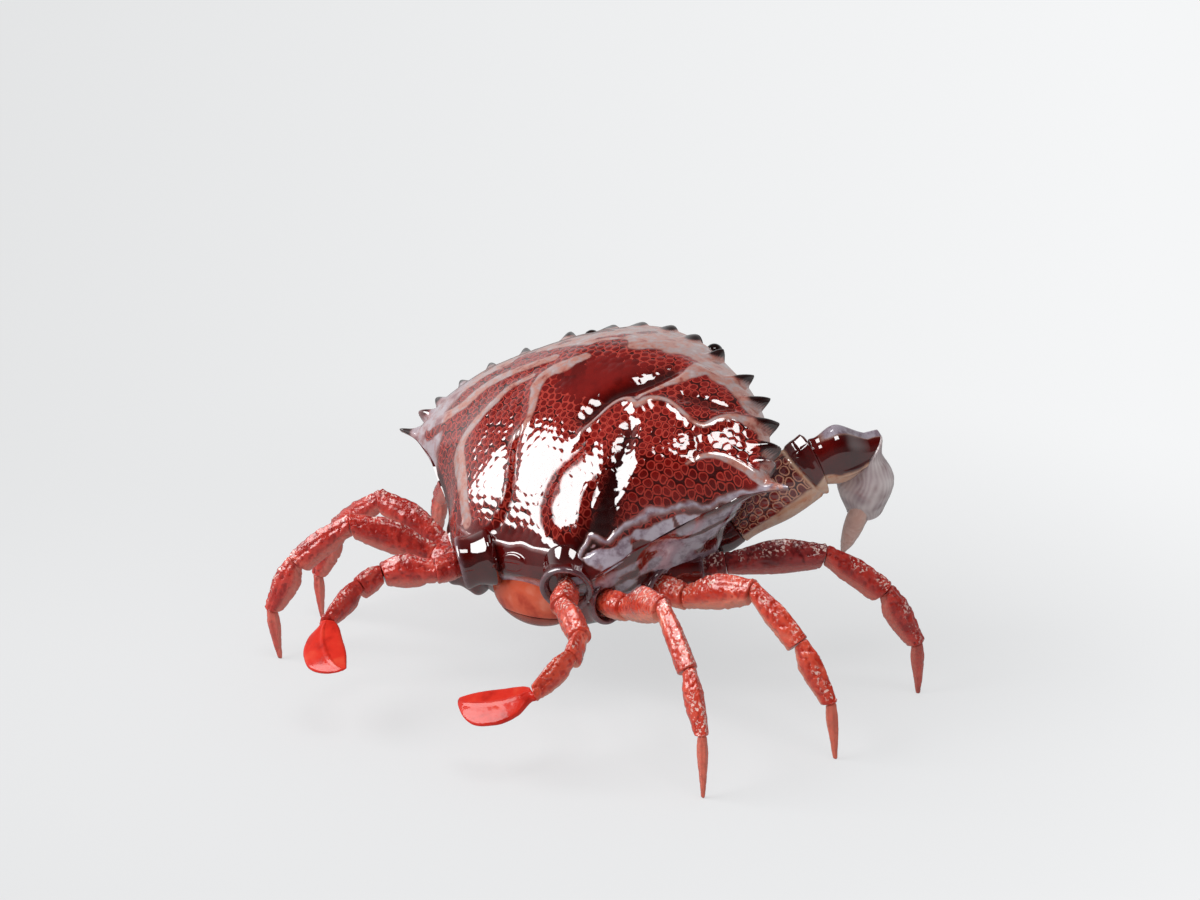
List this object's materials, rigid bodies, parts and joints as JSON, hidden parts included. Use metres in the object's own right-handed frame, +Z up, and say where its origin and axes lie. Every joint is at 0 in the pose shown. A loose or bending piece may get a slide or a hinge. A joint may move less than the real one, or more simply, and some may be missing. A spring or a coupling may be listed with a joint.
{
  "type": "crab figurine",
  "caption": "Glazed porcelain crab standing on its legs, nose up, with raised carapace folds, toothed front edge, paddle rear legs and claws held in front.",
  "frame": {"origin": "middle of the footprint's bounding box, on the table that the leg tips stand on", "axes": "+X to the crab's right, +Y towards its face, +Z up"},
  "size_m": [0.3476, 0.2978, 0.1766],
  "materials": {
    "lustre_glaze": "dark oxblood red lustre glaze, mirror bright, pink where it thins on ridges",
    "brown_glaze": "smooth brown coral glaze",
    "eye_glaze": "black brown glaze, glossy",
    "coral_glaze": "coral red glaze over a pebbled surface",
    "red_glaze": "smooth red glaze, glossy",
    "matte_bisque": "thin salmon wash, nearly matte"
  },
  "bodies": {
    "root": {"abdomen_lower": "brown_glaze", "abdomen_upper": "brown_glaze", "left_claw_carpus": "coral_glaze", "left_claw_finger": "matte_bisque", "left_claw_hip": "red_glaze", "left_claw_merus": "coral_glaze", "left_claw_palm": "coral_glaze", "left_eye": "eye_glaze", "left_first_leg_carpus": "coral_glaze", "left_first_leg_hip": "red_glaze", "left_first_leg_merus": "coral_glaze", "left_first_leg_propodus": "coral_glaze", "left_first_leg_tip": "matte_bisque", "left_maxilliped": "coral_glaze", "left_second_leg_carpus": "coral_glaze", "left_second_leg_hip": "red_glaze", "left_second_leg_merus": "coral_glaze", "left_second_leg_propodus": "coral_glaze", "left_second_leg_tip": "matte_bisque", "left_swim_leg_carpus": "coral_glaze", "left_swim_leg_hip": "red_glaze", "left_swim_leg_merus": "coral_glaze", "left_swim_leg_paddle": "red_glaze", "left_swim_leg_propodus": "coral_glaze", "left_third_leg_carpus": "coral_glaze", "left_third_leg_hip": "red_glaze", "left_third_leg_merus": "coral_glaze", "left_third_leg_propodus": "coral_glaze", "left_third_leg_tip": "matte_bisque", "right_claw_carpus": "coral_glaze", "right_claw_finger": "matte_bisque", "right_claw_hip": "red_glaze", "right_claw_merus": "coral_glaze", "right_claw_palm": "coral_glaze", "right_eye": "eye_glaze", "right_first_leg_carpus": "coral_glaze", "right_first_leg_hip": "red_glaze", "right_first_leg_merus": "coral_glaze", "right_first_leg_propodus": "coral_glaze", "right_first_leg_tip": "matte_bisque", "right_maxilliped": "coral_glaze", "right_second_leg_carpus": "coral_glaze", "right_second_leg_hip": "red_glaze", "right_second_leg_merus": "coral_glaze", "right_second_leg_propodus": "coral_glaze", "right_second_leg_tip": "matte_bisque", "right_swim_leg_carpus": "coral_glaze", "right_swim_leg_hip": "red_glaze", "right_swim_leg_merus": "coral_glaze", "right_swim_leg_paddle": "red_glaze", "right_swim_leg_propodus": "coral_glaze", "right_third_leg_carpus": "coral_glaze", "right_third_leg_hip": "red_glaze", "right_third_leg_merus": "coral_glaze", "right_third_leg_propodus": "coral_glaze", "right_third_leg_tip": "matte_bisque", "shell": "lustre_glaze"}
  },
  "joints": []
}
